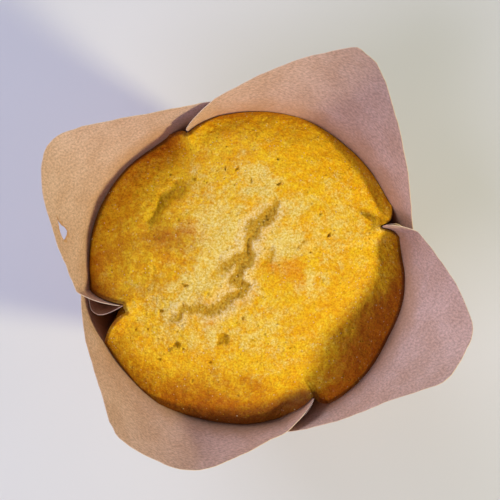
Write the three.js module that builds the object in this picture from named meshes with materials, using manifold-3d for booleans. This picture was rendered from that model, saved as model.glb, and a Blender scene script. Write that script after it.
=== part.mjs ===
// A muffin baked in a tulip case: a square of brown paper whose middle makes a small flat base,
// whose sides are folded into four flat pleats, and whose corners stand up as four petals.
// Millimetres, +Z up. The case stands on z = 0 with its base centred on the origin. Angles are
// counter-clockwise from +X, seen from above. "Path" is the way up the paper from the base's rim.

import * as THREE from "three";
import { mergeVertices } from "three/addons/utils/BufferGeometryUtils.js";
import Module from "manifold-3d";

const { clamp, lerp, smoothstep, degToRad } = THREE.MathUtils;
const QUARTER_TURN = degToRad(90);
const FULL_TURN = degToRad(360);

// ---- Sizes of the paper case ----------------------------------------------------------------

const SHEET_SIDE = 150;                 // the square that the case is pressed from
const PAPER = 0.4;                      // thicker than real paper, so that the solid is sound
const BASE_RADIUS = 22.5;               // the flat disc that it stands on
const FOOT_RADIUS = 3;                  // bend between the disc and the wall
const WALL_TILT = degToRad(17.8);       // of the wall, away from upright
const FLARE_FROM = 42;                  // path at which the petals begin to lean out more
const FLARE_TO = 50;                    // path at which they have their full lean
const LAYER_STEP = 1.1;                 // from the wall to a pleat's inner or outer layer
const PLEAT_ROOT = 5;                   // path at which a pleat's layers begin to overlap
const PLEAT_FULL = 52;                  // path at which they overlap fully
const PLEAT_FORMED = 12;                // path by which the plain paper has turned into three layers
const PLEAT_OVERLAP = degToRad(34);
const PLEAT_SPREAD = degToRad(9);       // what a pleat's paper takes up on the disc's rim
const PINCH_FULL = 54;                  // path at which a pleat's inner crease is pinched in most
const PINCH_RISE = 2.5;                 // power by which the pinch grows up the wall
const PINCH_CURVE = 1.3;                // power by which it fades along the petal
const SHEET_SQUEEZE = 0.53;             // angle of flat sheet used by each degree of the petals

// One petal for each corner of the sheet, and the pleat at its counter-clockwise end, where the
// petal is the inner layer and is folded back on itself.
// tip    direction of the sheet's corner
// cut    how far from the sheet's centre the corner is trimmed, the slant of that trim, and the
//        rounding of the outline there
// lean   middle, reach and amount of the petal's extra lean, and its bias to one side
// pleat  direction of the inner crease at the top, how deep it is pinched into the muffin, how
//        far along the petal that shows, and where the middle layer heads back to the wall,
//        beyond the crease (above 0, which opens a pocket) or behind the petal (below 0)
const PETALS = [
  {
    tip: degToRad(61.9),
    cut: { at: 100.5, slant: degToRad(-14), round: 0.35 },
    lean: { at: degToRad(58.5), reach: degToRad(51.2), by: degToRad(15.7), bias: 0.29 },
    pleat: { at: degToRad(113.4), depth: 2.9, reach: degToRad(12.5), mouth: -3 },
  },
  {
    tip: degToRad(149.5),
    cut: { at: 99.1, slant: degToRad(14), round: 1.6 },
    lean: { at: degToRad(154.8), reach: degToRad(38.4), by: degToRad(10.9), bias: -0.52 },
    pleat: { at: degToRad(195.8), depth: 8.9, reach: degToRad(8.4), mouth: 3 },
  },
  {
    tip: degToRad(239.2),
    cut: { at: 93.6, slant: degToRad(14), round: 1.2 },
    lean: { at: degToRad(245.7), reach: degToRad(35.7), by: degToRad(8.9), bias: 1 },
    pleat: { at: degToRad(296.7), depth: 4.3, reach: degToRad(15), mouth: -4 },
  },
  {
    tip: degToRad(336.3),
    cut: { at: 97.7, slant: degToRad(10.2), round: 0.7 },
    lean: { at: degToRad(340.6), reach: degToRad(35.9), by: degToRad(15.9), bias: 1 },
    pleat: { at: degToRad(377), depth: 5.5, reach: degToRad(4.8), mouth: 0.3 },
  },
];

// A small tear through the second petal, near its outer edge.
const TEAR = { petal: 1, beta: degToRad(9.9), path: 64.6, length: 5, width: 2.5, turn: degToRad(38) };

// ---- Sizes of the muffin --------------------------------------------------------------------

const CLEARANCE = 0.3;                  // air between the muffin and the paper
const CRUST_PATH = 51;                  // path up the paper at which the crust's rim lies
const DOME_HEIGHT = 12.5;               // of the crown above that rim
const DOME_SQUARENESS = 2.4;            // power of the crown's outline: higher is flatter on top
const DOME_SHOULDER = 0.82;             // power of its shoulder: lower is steeper at the rim
const NOTCH_FADE = 3.2;                 // power by which a pleat's notch fades towards the middle
const NOTCH_SWELL = 0.6;                // power by which the muffin swells out again past a pleat
// Angle beyond each inner crease over which the muffin gets back to its full radius.
const NOTCH_RECOVERY = [degToRad(7), degToRad(8), degToRad(4), degToRad(6)];

// ---- The paper as a surface -----------------------------------------------------------------

const FOOT_PATH = FOOT_RADIUS * (QUARTER_TURN - WALL_TILT);
const MIDDLE_STEP = LAYER_STEP / 4;     // of the middle layer at its creases
const CREASE_RADIUS = (LAYER_STEP - MIDDLE_STEP) / 2;

const previous = (k) => (k + PETALS.length - 1) % PETALS.length;
const next = (k) => (k + 1) % PETALS.length;
const wrapped = (angle) => THREE.MathUtils.euclideanModulo(angle + Math.PI, FULL_TURN) - Math.PI;

// Extra tilt of the petals in a direction: most within each petal, none at the pleats.
function leanAt(angle) {
  let total = 0;
  for (const { lean } of PETALS) {
    const x = wrapped(angle - lean.at) / lean.reach;
    if (Math.abs(x) < 1) total += lean.by * (1 - x * x) ** 2 * (1 + lean.bias * x);
  }
  return total;
}

// Radius, height and tilt of the plain wall: foot bend, straight wall, flare, straight petal.
function wallAt(angle, path) {
  if (path < FOOT_PATH) {
    const tilt = QUARTER_TURN - path / FOOT_RADIUS;
    return {
      radius: BASE_RADIUS + FOOT_RADIUS * Math.cos(tilt),
      height: FOOT_RADIUS * (1 - Math.sin(tilt)),
      tilt,
    };
  }
  const full = leanAt(angle);
  const straight = Math.min(path, FLARE_FROM) - FOOT_PATH;
  const flare = clamp(path - FLARE_FROM, 0, FLARE_TO - FLARE_FROM);
  const beyond = Math.max(path - FLARE_TO, 0);
  const tilt = WALL_TILT + (full * flare) / (FLARE_TO - FLARE_FROM);
  const middle = (WALL_TILT + tilt) / 2;
  const along = (wave) =>
    straight * wave(WALL_TILT) + flare * wave(middle) + beyond * wave(tilt);
  return {
    radius: BASE_RADIUS + FOOT_RADIUS * Math.cos(WALL_TILT) + along(Math.sin),
    height: FOOT_RADIUS * (1 - Math.sin(WALL_TILT)) + along(Math.cos),
    tilt,
  };
}

// A point offset from the plain wall along its outward normal.
function shellPoint(angle, path, offset) {
  const wall = wallAt(angle, path);
  const radius = wall.radius + offset * Math.cos(wall.tilt);
  const height = wall.height - offset * Math.sin(wall.tilt) + PAPER / 2;
  return new THREE.Vector3(radius * Math.cos(angle), radius * Math.sin(angle), height);
}

// The directions of a pleat's two creases at a path. Low down the pleat first rises from the
// plain paper as a wave, and then folds over on itself.
function pleatAt(k, path) {
  const { at, depth } = PETALS[k].pleat;
  const raised = smoothstep(path, 0, FOOT_PATH);
  const folded = smoothstep(path, FOOT_PATH / 2, PLEAT_FORMED);
  const grown = (Math.max(path, PLEAT_FORMED) - PLEAT_ROOT) / (PLEAT_FULL - PLEAT_ROOT);
  const overlap = PLEAT_OVERLAP * Math.min(grown, 1);
  const half = lerp(-PLEAT_SPREAD, overlap, folded) / 2;
  const middle = at - PLEAT_OVERLAP / 2;
  const pinch = Math.min(path / PINCH_FULL, 1) ** PINCH_RISE;
  const creases = { inner: middle + half, outer: middle - half };
  return { raised, folded, overlap, middle, ...creases, pinch, depth: depth * pinch };
}

// Directions at which a petal starts, as an outer layer, and ends, as an inner layer.
function petalEnds(k, path) {
  const turn = k === 0 ? FULL_TURN : 0;
  return { start: pleatAt(previous(k), path).outer - turn, end: pleatAt(k, path).inner };
}

// Angles of the flat sheet from a petal's corner back to its start and on to its end.
function petalSpan(k) {
  const { tip } = PETALS[k];
  const { start, end } = petalEnds(k, PLEAT_FULL);
  return { back: (tip - start) * SHEET_SQUEEZE, on: (end - tip) * SHEET_SQUEEZE };
}

// Path at which the sheet ends, in a direction of the flat sheet from the petal's corner.
function edgePath(k, beta) {
  const { at, slant, round } = PETALS[k].cut;
  const half = SHEET_SIDE / 2;
  const sides = [
    half / Math.max(Math.cos(beta - QUARTER_TURN / 2), 0.1),
    half / Math.max(Math.cos(beta + QUARTER_TURN / 2), 0.1),
    at / Math.cos(beta - slant),
  ];
  const nearest = Math.min(...sides);
  const rest = sides.reduce((sum, side) => sum + Math.exp((nearest - side) / round), 0);
  return nearest - round * Math.log(rest) - BASE_RADIUS;
}

// Direction and offset of a petal's point: it starts as the outer layer of one pleat and ends,
// pinched in, as the inner layer of the next.
function petalSection(k, beta, path) {
  const { tip, pleat } = PETALS[k];
  const { back, on } = petalSpan(k);
  const { start, end } = petalEnds(k, path);
  const { raised, depth } = pleatAt(k, path);
  const angle = beta > 0 ? lerp(tip, end, beta / on) : lerp(tip, start, -beta / back);
  const layer = 1 - (2 * (beta + back)) / (back + on);
  const near = Math.max(1 - (end - angle) / pleat.reach, 0);
  return { angle, offset: LAYER_STEP * layer * raised - depth * near ** PINCH_CURVE };
}

// The rest of a pleat, between two petals, as directions and offsets: round the inner crease,
// back to the wall as the middle layer, and round the outer crease.
const NOSE_STEPS = 4;
const SWEEP_STEPS = 3;
const MIDDLE_STEPS = 4;
const CREASE_STEPS = 3;
const SWEEP_RUN = 4;                    // along the wall, over which the middle layer settles

function pleatSection(k, path) {
  const { raised, folded, overlap, middle, pinch, depth } = pleatAt(k, path);
  const { reach, mouth } = PETALS[k].pleat;
  const crease = middle + overlap / 2;
  const { radius } = wallAt(crease, path);
  const steep = Math.atan((PINCH_CURVE * depth) / (reach * radius));
  const far = -overlap * radius;
  const points = [];
  const nose = new THREE.Vector2(
    CREASE_RADIUS * Math.sin(steep),
    CREASE_RADIUS * Math.cos(steep) - LAYER_STEP - depth,
  );
  const corner = new THREE.Vector2(Math.max(mouth * pinch, far / 2), -MIDDLE_STEP);
  const settled = corner.clone();
  settled.x = Math.max(corner.x - SWEEP_RUN, (corner.x + far) / 2);
  const way = corner.clone().sub(nose);
  const leave = Math.atan2(way.y, way.x) + Math.asin(Math.min(CREASE_RADIUS / way.length(), 1));
  for (let i = 1; i <= NOSE_STEPS; i++) {
    const turn = lerp(-steep, leave, i / NOSE_STEPS);
    const round = new THREE.Vector2(Math.sin(turn), -Math.cos(turn));
    points.push(nose.clone().addScaledVector(round, CREASE_RADIUS));
  }
  const sweep = new THREE.QuadraticBezierCurve(points[points.length - 1], corner, settled);
  points.push(...sweep.getPoints(SWEEP_STEPS).slice(1));
  const end = new THREE.Vector2(far, MIDDLE_STEP);
  for (let i = 1; i < MIDDLE_STEPS; i++) {
    points.push(settled.clone().lerp(end, i / MIDDLE_STEPS));
  }
  for (let i = 0; i < CREASE_STEPS; i++) {
    const turn = (Math.PI * i) / CREASE_STEPS;
    const back = new THREE.Vector2(-Math.sin(turn), 1 - Math.cos(turn));
    points.push(back.multiplyScalar(CREASE_RADIUS).add(end));
  }
  const whole = [nose.clone().setY(-LAYER_STEP - depth), ...points, end.clone().setY(LAYER_STEP)];
  const steps = whole.slice(1).map((point, i) => point.distanceTo(whole[i]));
  const total = steps.reduce((sum, step) => sum + step, 0);
  let run = 0;
  return points.map((point, i) => {
    run += steps[i];
    const share = run / total;
    const flat = middle + PLEAT_SPREAD * (share - 0.5);
    const wave = LAYER_STEP * (2 * share - 1);
    return {
      angle: lerp(flat, crease + point.x / radius, folded),
      offset: lerp(wave, point.y, folded) * raised,
    };
  });
}

// ---- The paper as a solid -------------------------------------------------------------------

// Where the columns of the paper's grid stand on a petal, as shares of its two sides.
const BACK_SHARES = [1, 0.84, 0.68, 0.53, 0.4, 0.28, 0.18, 0.1, 0.045];
const ON_SHARES = [0, 0.055, 0.15, 0.3, 0.48, 0.66, 0.83];
const PINCH_SHARES = [0, 0.3, 0.58, 0.8, 0.93, 1];
// Rows: paths up the wall, alike on every layer, then shares of what is left to the cut edge.
const WALL_ROWS = [0, 1.9, FOOT_PATH, 6, 8.5, PLEAT_FORMED, 23, 34, FLARE_FROM, 46, FLARE_TO];
const PETAL_ROWS = [0.33, 0.67, 1];

// Every column gives its cut edge and, for a path, its direction and offset.
function paperColumns() {
  const columns = [];
  for (let k = 0; k < PETALS.length; k++) {
    const { back, on } = petalSpan(k);
    const pinched = 1 - Math.min((PETALS[k].pleat.reach * SHEET_SQUEEZE) / on, 0.4);
    const betas = [
      ...BACK_SHARES.map((share) => -back * share),
      ...ON_SHARES.map((share) => on * pinched * share),
      ...PINCH_SHARES.map((share) => on * lerp(pinched, 1, share)),
    ];
    for (const beta of betas) {
      columns.push({ edge: edgePath(k, beta), section: (path) => petalSection(k, beta, path) });
    }
    const count = pleatSection(k, PINCH_FULL).length;
    const resume = QUARTER_TURN - petalSpan(next(k)).back;
    for (let i = 0; i < count; i++) {
      const beta = lerp(on, resume, (i + 1) / (count + 1));
      columns.push({ edge: edgePath(k, beta), section: (path) => pleatSection(k, path)[i] });
    }
  }
  return columns;
}

// Points of the middle surface, one row after another, and the unit normals out of the case.
function paperGrid() {
  const columns = paperColumns();
  const paths = [
    ...WALL_ROWS.map((path) => () => path),
    ...PETAL_ROWS.map((share) => (edge) => lerp(FLARE_TO, edge, share)),
  ];
  const rows = paths.map((pathOf) =>
    columns.map(({ edge, section }) => {
      const path = pathOf(edge);
      const { angle, offset } = section(path);
      return shellPoint(angle, path, offset);
    }),
  );
  const width = columns.length;
  const normals = rows.map((row, j) =>
    row.map((point, i) => {
      const round = row[(i + 1) % width].clone().sub(row[(i + width - 1) % width]);
      const above = rows[Math.min(j + 1, rows.length - 1)][i];
      const below = rows[Math.max(j - 1, 0)][i];
      return round.cross(above.clone().sub(below)).normalize();
    }),
  );
  normals[0] = rows[0].map(() => new THREE.Vector3(0, 0, -1));
  return { rows, normals };
}

// Two skins half the paper's thickness either side of the grid, closed along the cut edge and
// by a disc at the base.
function paperGeometry() {
  const { rows, normals } = paperGrid();
  const width = rows[0].length;
  const height = rows.length;
  const positions = [];
  for (const side of [1, -1]) {
    rows.forEach((row, j) =>
      row.forEach((point, i) => {
        positions.push(...point.clone().addScaledVector(normals[j][i], (side * PAPER) / 2));
      }),
    );
  }
  const skin = width * height;
  const hubs = [positions.length / 3, positions.length / 3 + 1];
  positions.push(0, 0, 0, 0, 0, PAPER);
  const index = [];
  const quad = (a, b, c, d) => index.push(a, b, c, a, c, d);
  for (let i = 0; i < width; i++) {
    const right = (i + 1) % width;
    for (let j = 0; j + 1 < height; j++) {
      const low = j * width;
      const high = low + width;
      quad(low + i, low + right, high + right, high + i);
      quad(skin + low + right, skin + low + i, skin + high + i, skin + high + right);
    }
    const rim = (height - 1) * width;
    quad(rim + i, rim + right, skin + rim + right, skin + rim + i);
    index.push(hubs[0], right, i);
    index.push(hubs[1], skin + i, skin + right);
  }
  return closedGeometry(positions, index);
}

// The tear: a leaf-shaped prism through the paper, its length slanting up the petal.
function tearGeometry() {
  const half = TEAR.length / 2;
  const leaf = new THREE.Shape();
  leaf.moveTo(0, -half);
  leaf.quadraticCurveTo(TEAR.width, 0, 0, half);
  leaf.quadraticCurveTo(-TEAR.width, -half / 3, 0, -half);
  const geometry = new THREE.ExtrudeGeometry(leaf, {
    depth: 8 * PAPER,
    bevelEnabled: false,
    curveSegments: 5,
  });
  const { angle, offset } = petalSection(TEAR.petal, TEAR.beta, TEAR.path);
  const { tilt } = wallAt(angle, TEAR.path);
  const centre = shellPoint(angle, TEAR.path, offset);
  const out = new THREE.Vector3(Math.cos(angle), Math.sin(angle), 0);
  const up = out.clone().multiplyScalar(Math.sin(tilt)).setZ(Math.cos(tilt));
  const round = new THREE.Vector3(-out.y, out.x, 0);
  const through = round.clone().cross(up);
  geometry.translate(0, 0, -4 * PAPER);
  geometry.rotateZ(TEAR.turn);
  geometry.applyMatrix4(new THREE.Matrix4().makeBasis(round, up, through).setPosition(centre));
  return geometry;
}

// ---- The muffin as a solid ------------------------------------------------------------------

// The muffin's outline from one inner crease to the next has three stretches: past the first
// crease, plain, and along the flank of the second. Columns stand at these shares of each.
const PAST_SHARES = [0, 0.35];
const PLAIN_SHARES = [0, 0.12, 0.25, 0.38, 0.52, 0.66, 0.82];
const FLANK_SHARES = [0, 0.3, 0.58, 0.8, 0.93, 1];
const SIDE_PATHS = [FOOT_PATH + 0.6, 7, PLEAT_FORMED, 23, 34, FLARE_FROM, 46, CRUST_PATH];
const CROWN_RINGS = [0.985, 0.95, 0.9, 0.82, 0.7, 0.5, 0.25];
const AIR = CLEARANCE + PAPER / 2;

// Offset of the paper's middle surface in a direction within a petal.
function paperOffset(k, angle, path) {
  const { tip } = PETALS[k];
  const { back, on } = petalSpan(k);
  const { start, end } = petalEnds(k, path);
  const side = angle > tip ? on / (end - tip) : back / (tip - start);
  return petalSection(k, (angle - tip) * side, path).offset;
}

// The notch that the muffin has round an inner crease: its bottom, as an offset, the angle over
// which it stays there beyond the crease, and the slope of the petal's flank at the crease.
function notchAt(k, path) {
  const { inner, pinch, depth } = pleatAt(k, path);
  const { reach, mouth } = PETALS[k].pleat;
  const radius = wallAt(inner, path).radius - depth;
  const slope = (PINCH_CURVE * depth) / (reach * radius);
  const steep = Math.atan(slope);
  const bottom = -LAYER_STEP - depth - CREASE_RADIUS * (1 - Math.cos(steep)) - AIR;
  const side = CREASE_RADIUS * (1 + Math.sin(steep)) + AIR + Math.max(mouth * pinch, 0) / 2;
  return { bottom, beyond: side / radius, slope };
}

// Directions between the stretches of the outline on petal k.
function stretchEnds(k, path) {
  const before = previous(k);
  const turn = k === 0 ? FULL_TURN : 0;
  const start = pleatAt(before, path).inner - turn + notchAt(before, path).beyond;
  const crease = pleatAt(k, path).inner;
  return { start, plain: start + NOTCH_RECOVERY[before], flank: crease - PETALS[k].pleat.reach, crease };
}

// Each column gives a direction, an offset, and the offset that it would have with no notch.
function pastSection(k, share, path) {
  const { start, plain } = stretchEnds(k, path);
  const whole = paperOffset(k, plain, path) - AIR;
  const { bottom } = notchAt(previous(k), path);
  return { angle: lerp(start, plain, share), offset: lerp(bottom, whole, share ** NOTCH_SWELL), whole };
}

function plainSection(k, share, path) {
  const { plain, flank } = stretchEnds(k, path);
  const angle = lerp(plain, flank, share);
  const whole = paperOffset(k, angle, path) - AIR;
  return { angle, offset: whole, whole };
}

function flankSection(k, share, path) {
  const { flank, crease } = stretchEnds(k, path);
  const { bottom, slope } = notchAt(k, path);
  const angle = lerp(flank, crease, share);
  const air = AIR * Math.hypot(1, slope * share ** (PINCH_CURVE - 1));
  const whole = paperOffset(k, flank, path) - AIR;
  return { angle, offset: Math.max(paperOffset(k, angle, path) - air, bottom), whole };
}

function cakeColumns() {
  const columns = [];
  for (let k = 0; k < PETALS.length; k++) {
    columns.push(...PAST_SHARES.map((share) => (path) => pastSection(k, share, path)));
    columns.push(...PLAIN_SHARES.map((share) => (path) => plainSection(k, share, path)));
    columns.push(...FLANK_SHARES.map((share) => (path) => flankSection(k, share, path)));
  }
  return columns;
}

// Rings of points: the flat bottom, the side along the paper, and the crown above the crust's
// rim, where the notches fade towards the middle.
function cakeRings(columns, bottom, crest) {
  const floor = [0.9, 1].map((share) =>
    columns.map((column) => {
      const { angle } = column(SIDE_PATHS[0]);
      const radius = (BASE_RADIUS - CLEARANCE) * share;
      return new THREE.Vector3(radius * Math.cos(angle), radius * Math.sin(angle), bottom);
    }),
  );
  const side = SIDE_PATHS.map((path) =>
    columns.map((column) => {
      const { angle, offset } = column(path);
      return shellPoint(angle, path, offset);
    }),
  );
  const crown = CROWN_RINGS.map((ring) =>
    columns.map((column) => {
      const { angle, offset, whole } = column(CRUST_PATH);
      const point = shellPoint(angle, CRUST_PATH, lerp(whole, offset, ring ** NOTCH_FADE));
      const rise = (1 - ring ** DOME_SQUARENESS) ** DOME_SHOULDER;
      return point.set(point.x * ring, point.y * ring, lerp(point.z, crest, rise));
    }),
  );
  return [...floor, ...side, ...crown];
}

function cakeGeometry() {
  const bottom = PAPER + CLEARANCE;
  const crest = wallAt(PETALS[0].pleat.at, CRUST_PATH).height + DOME_HEIGHT;
  const rings = cakeRings(cakeColumns(), bottom, crest);
  const width = rings[0].length;
  const positions = rings.flat().flatMap((point) => point.toArray());
  const hub = rings.length * width;
  positions.push(0, 0, bottom, 0, 0, crest);
  const index = [];
  for (let i = 0; i < width; i++) {
    const right = (i + 1) % width;
    for (let low = 0; low + width < hub; low += width) {
      const high = low + width;
      index.push(low + i, low + right, high + right, low + i, high + right, high + i);
    }
    index.push(hub, right, i);
    index.push(hub + 1, hub - width + i, hub - width + right);
  }
  return closedGeometry(positions, index);
}

// ---- Solids and scene -----------------------------------------------------------------------

function closedGeometry(positions, index) {
  const geometry = new THREE.BufferGeometry();
  geometry.setAttribute("position", new THREE.Float32BufferAttribute(positions, 3));
  geometry.setIndex(index);
  return geometry;
}

const wasm = await Module();
wasm.setup();

function toManifold(geometry) {
  const bare = geometry.clone();
  bare.deleteAttribute("normal");
  bare.deleteAttribute("uv");
  const merged = mergeVertices(bare, 1e-5);
  return new wasm.Manifold(
    new wasm.Mesh({
      numProp: 3,
      vertProperties: new Float32Array(merged.attributes.position.array),
      triVerts: new Uint32Array(merged.index.array),
    }),
  );
}

function fromManifold(solid) {
  const { vertProperties, triVerts } = solid.getMesh();
  return closedGeometry(Array.from(vertProperties), Array.from(triVerts));
}

function namedMesh(name, geometry, material) {
  geometry.computeVertexNormals();
  const mesh = new THREE.Mesh(geometry, new THREE.MeshStandardMaterial(material));
  mesh.name = name;
  return mesh;
}

const torn = fromManifold(toManifold(paperGeometry()).subtract(toManifold(tearGeometry())));

const muffinInCase = new THREE.Group();
muffinInCase.add(
  namedMesh("muffin", cakeGeometry(), { color: 0xd79a26, roughness: 0.85, metalness: 0 }),
  namedMesh("paper_case", torn, { color: 0xc39a70, roughness: 0.8, metalness: 0 }),
);

export default muffinInCase;
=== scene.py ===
# %% [markdown]
# # A muffin in a folded paper case
#
# This lesson makes a bakery muffin that was baked in a tulip case. The case is one square of brown
# greaseproof paper: its middle is the flat base, its sides are folded into four flat pleats, and
# its four corners stand up as petals. We first build the paper, then the muffin that fills it, and
# then the two finishes, the floor, the light and the camera.
#
# A measured solid model comes with the object. Loading it first fixes the size and the place of
# everything, and each piece that we make takes the place of one of its solids.

import math
from types import SimpleNamespace

import bpy
import numpy as np
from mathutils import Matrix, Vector, kdtree, noise


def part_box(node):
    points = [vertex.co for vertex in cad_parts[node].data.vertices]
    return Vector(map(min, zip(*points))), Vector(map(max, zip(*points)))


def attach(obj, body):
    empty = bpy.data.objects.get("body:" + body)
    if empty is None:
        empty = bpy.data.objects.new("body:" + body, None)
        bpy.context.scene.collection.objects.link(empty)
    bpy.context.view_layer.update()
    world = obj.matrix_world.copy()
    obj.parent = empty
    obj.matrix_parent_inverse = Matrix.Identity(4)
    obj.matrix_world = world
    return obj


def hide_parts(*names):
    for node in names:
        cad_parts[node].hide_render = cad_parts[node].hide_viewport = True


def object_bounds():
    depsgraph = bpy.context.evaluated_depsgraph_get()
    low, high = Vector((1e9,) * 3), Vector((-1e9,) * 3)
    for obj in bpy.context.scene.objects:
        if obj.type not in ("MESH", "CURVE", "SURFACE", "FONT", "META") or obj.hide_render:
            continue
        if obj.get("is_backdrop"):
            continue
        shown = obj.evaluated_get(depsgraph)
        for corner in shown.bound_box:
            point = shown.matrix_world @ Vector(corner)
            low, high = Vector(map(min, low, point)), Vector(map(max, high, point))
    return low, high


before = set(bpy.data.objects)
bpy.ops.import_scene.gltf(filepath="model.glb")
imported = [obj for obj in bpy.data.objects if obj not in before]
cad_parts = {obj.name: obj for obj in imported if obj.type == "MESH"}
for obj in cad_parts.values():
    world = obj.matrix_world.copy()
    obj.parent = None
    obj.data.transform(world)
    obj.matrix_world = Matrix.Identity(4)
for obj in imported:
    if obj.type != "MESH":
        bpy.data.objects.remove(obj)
solid_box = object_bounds()
scene = bpy.context.scene
case_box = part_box("paper_case")
print("measured model, metres:", [[round(v, 4) for v in corner] for corner in solid_box])

# %% [markdown]
# ## Sizes of the paper
#
# The real case is pressed from a square sheet, and paper keeps its lengths when it is folded. So
# its shape is not drawn by eye: everything starts from the sheet. How far up the wall something
# happens is called its *path*, measured along the paper from the rim of the base. Blender works in
# metres, and a muffin is easier to think of in millimetres, so a length is a number times `MM`.

# %% Sizes of the paper
MM = 0.001
rad = math.radians
QUARTER = rad(90)

SHEET_SIDE = 150 * MM
PAPER = 0.15 * MM
BASE_RADIUS = 22.5 * MM
FOOT_RADIUS = 3 * MM
WALL_TILT = rad(17.8)
FLARE_FROM, FLARE_TO = 42 * MM, 50 * MM
FOOT_PATH = FOOT_RADIUS * (QUARTER - WALL_TILT)
print(f"a {SHEET_SIDE / MM:.0f} mm sheet makes a base {2 * BASE_RADIUS / MM:.0f} mm across")

# %% [markdown]
# ## Four uneven petals
#
# No two petals are alike, because the case was pressed by hand. Turning copies of one petal would
# look stamped. Each petal gets its own small record instead: where its corner points, how the
# corner was trimmed, how far it leans out, and how the pleat at its end is pinched into the muffin.

# %% Four uneven petals
def petal(tip, cut, lean, pleat):
    """One petal; angles are given in degrees and lengths in millimetres."""
    at, slant, rounding = cut
    middle, reach, amount, bias = lean
    crease, depth, spread, mouth = pleat
    return SimpleNamespace(
        tip=rad(tip), cut=at * MM, slant=rad(slant), rounding=rounding * MM,
        lean_at=rad(middle), lean_reach=rad(reach), lean_by=rad(amount), lean_bias=bias,
        crease=rad(crease), depth=depth * MM, reach=rad(spread), mouth=mouth * MM,
    )


PETALS = [
    petal(61.9, (100.5, -14, 0.35), (58.5, 51.2, 15.7, 0.29), (113.4, 2.9, 12.5, -3)),
    petal(149.5, (99.1, 14, 1.6), (154.8, 38.4, 10.9, -0.52), (195.8, 8.9, 8.4, 3)),
    petal(239.2, (93.6, 14, 1.2), (245.7, 35.7, 8.9, 1), (296.7, 4.3, 15, -4)),
    petal(336.3, (97.7, 10.2, 0.7), (340.6, 35.9, 15.9, 1), (377, 5.5, 4.8, 0.3)),
]
print(len(PETALS), "petals")

# %% [markdown]
# ## The wall as a surface
#
# The plain wall is a bend at the foot, a straight slope, a second bend where the petals begin to
# lean out, and a straight petal. The Screw modifier could spin such a profile, but this one leans
# differently in every direction. So a function turns a direction and a path into a radius, a height
# and a tilt. NumPy works on whole arrays, so the same few lines place one point or thousands.

# %% The wall as a surface
def lerp(a, b, share):
    return a + (b - a) * share


def smooth(x, low, high):
    """0 below low, 1 above high, and an S-shaped rise between them."""
    t = np.clip((x - low) / (high - low), 0, 1)
    return t * t * (3 - 2 * t)


def steps(count):
    """Equal steps from just above 0 up to 1."""
    return np.arange(1, count + 1) / count


def turn_from(middle, angle):
    """The turn from a middle direction to an angle, between minus and plus half a circle."""
    return np.mod(angle - middle + math.pi, math.tau) - math.pi


def lean_at(angle):
    """How far the petals lean out in a direction."""
    total = 0
    for p in PETALS:
        x = turn_from(p.lean_at, angle) / p.lean_reach
        lean = p.lean_by * (1 - x * x) ** 2 * (1 + p.lean_bias * x)
        total = total + np.where(np.abs(x) < 1, lean, 0)
    return total


def wall_at(angle, path):
    """Radius, height and tilt from upright of the plain wall."""
    angle, path = np.broadcast_arrays(angle, path)
    foot = QUARTER - np.minimum(path, FOOT_PATH) / FOOT_RADIUS
    straight = np.clip(path, FOOT_PATH, FLARE_FROM) - FOOT_PATH
    flare = np.clip(path - FLARE_FROM, 0, FLARE_TO - FLARE_FROM)
    beyond = np.maximum(path - FLARE_TO, 0)
    tilt = foot + lean_at(angle) * flare / (FLARE_TO - FLARE_FROM)
    middle = (WALL_TILT + tilt) / 2
    across = straight * math.sin(WALL_TILT) + flare * np.sin(middle) + beyond * np.sin(tilt)
    up = straight * math.cos(WALL_TILT) + flare * np.cos(middle) + beyond * np.cos(tilt)
    radius = BASE_RADIUS + FOOT_RADIUS * np.cos(foot) + across
    height = FOOT_RADIUS * (1 - np.sin(foot)) + up
    return radius, height, tilt


def shell_point(angle, path, offset):
    """Points that stand off the plain wall by an offset, outwards."""
    radius, height, tilt = wall_at(angle, path)
    radius = radius + offset * np.cos(tilt)
    height = height - offset * np.sin(tilt) + PAPER / 2
    return np.stack([radius * np.cos(angle), radius * np.sin(angle), height], axis=-1)


print("radius at the petals' flare: %.1f mm" % (wall_at(0.0, FLARE_TO)[0] / MM))

# %% [markdown]
# ## Petals
#
# Going round the case, a petal starts as the outermost layer of one pleat and ends as the innermost
# layer of the next, where its edge is pinched into the muffin. A cloth simulation could fold such a
# sheet, but its layers would rub and jitter. A formula for the distance of every layer from the
# plain wall gives clean folds at once, and the muffin can ask it where the paper is.

# %% Petals
LAYER_STEP = 0.6 * MM
PLEAT_ROOT, PLEAT_FORMED, PLEAT_FULL = 5 * MM, 12 * MM, 52 * MM
PLEAT_OVERLAP, PLEAT_SPREAD = rad(34), rad(9)
PINCH_FULL, PINCH_RISE, PINCH_CURVE = 54 * MM, 2.5, 1.3
SHEET_SQUEEZE = 0.53


def pleat_at(p, path):
    """How far a pleat is raised and folded at a path, and where its two creases are."""
    raised = smooth(path, 0, FOOT_PATH)
    folded = smooth(path, FOOT_PATH / 2, PLEAT_FORMED)
    grown = (np.maximum(path, PLEAT_FORMED) - PLEAT_ROOT) / (PLEAT_FULL - PLEAT_ROOT)
    overlap = PLEAT_OVERLAP * np.minimum(grown, 1)
    half = lerp(-PLEAT_SPREAD, overlap, folded) / 2
    middle = p.crease - PLEAT_OVERLAP / 2
    pinch = np.minimum(path / PINCH_FULL, 1) ** PINCH_RISE
    return SimpleNamespace(
        raised=raised, folded=folded, overlap=overlap, middle=middle,
        inner=middle + half, outer=middle - half, pinch=pinch, depth=p.depth * pinch,
    )


def petal_ends(k, path):
    """Directions at which a petal starts, as an outer layer, and ends, as an inner one."""
    turn = math.tau if k == 0 else 0
    return pleat_at(PETALS[k - 1], path).outer - turn, pleat_at(PETALS[k], path).inner


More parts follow.
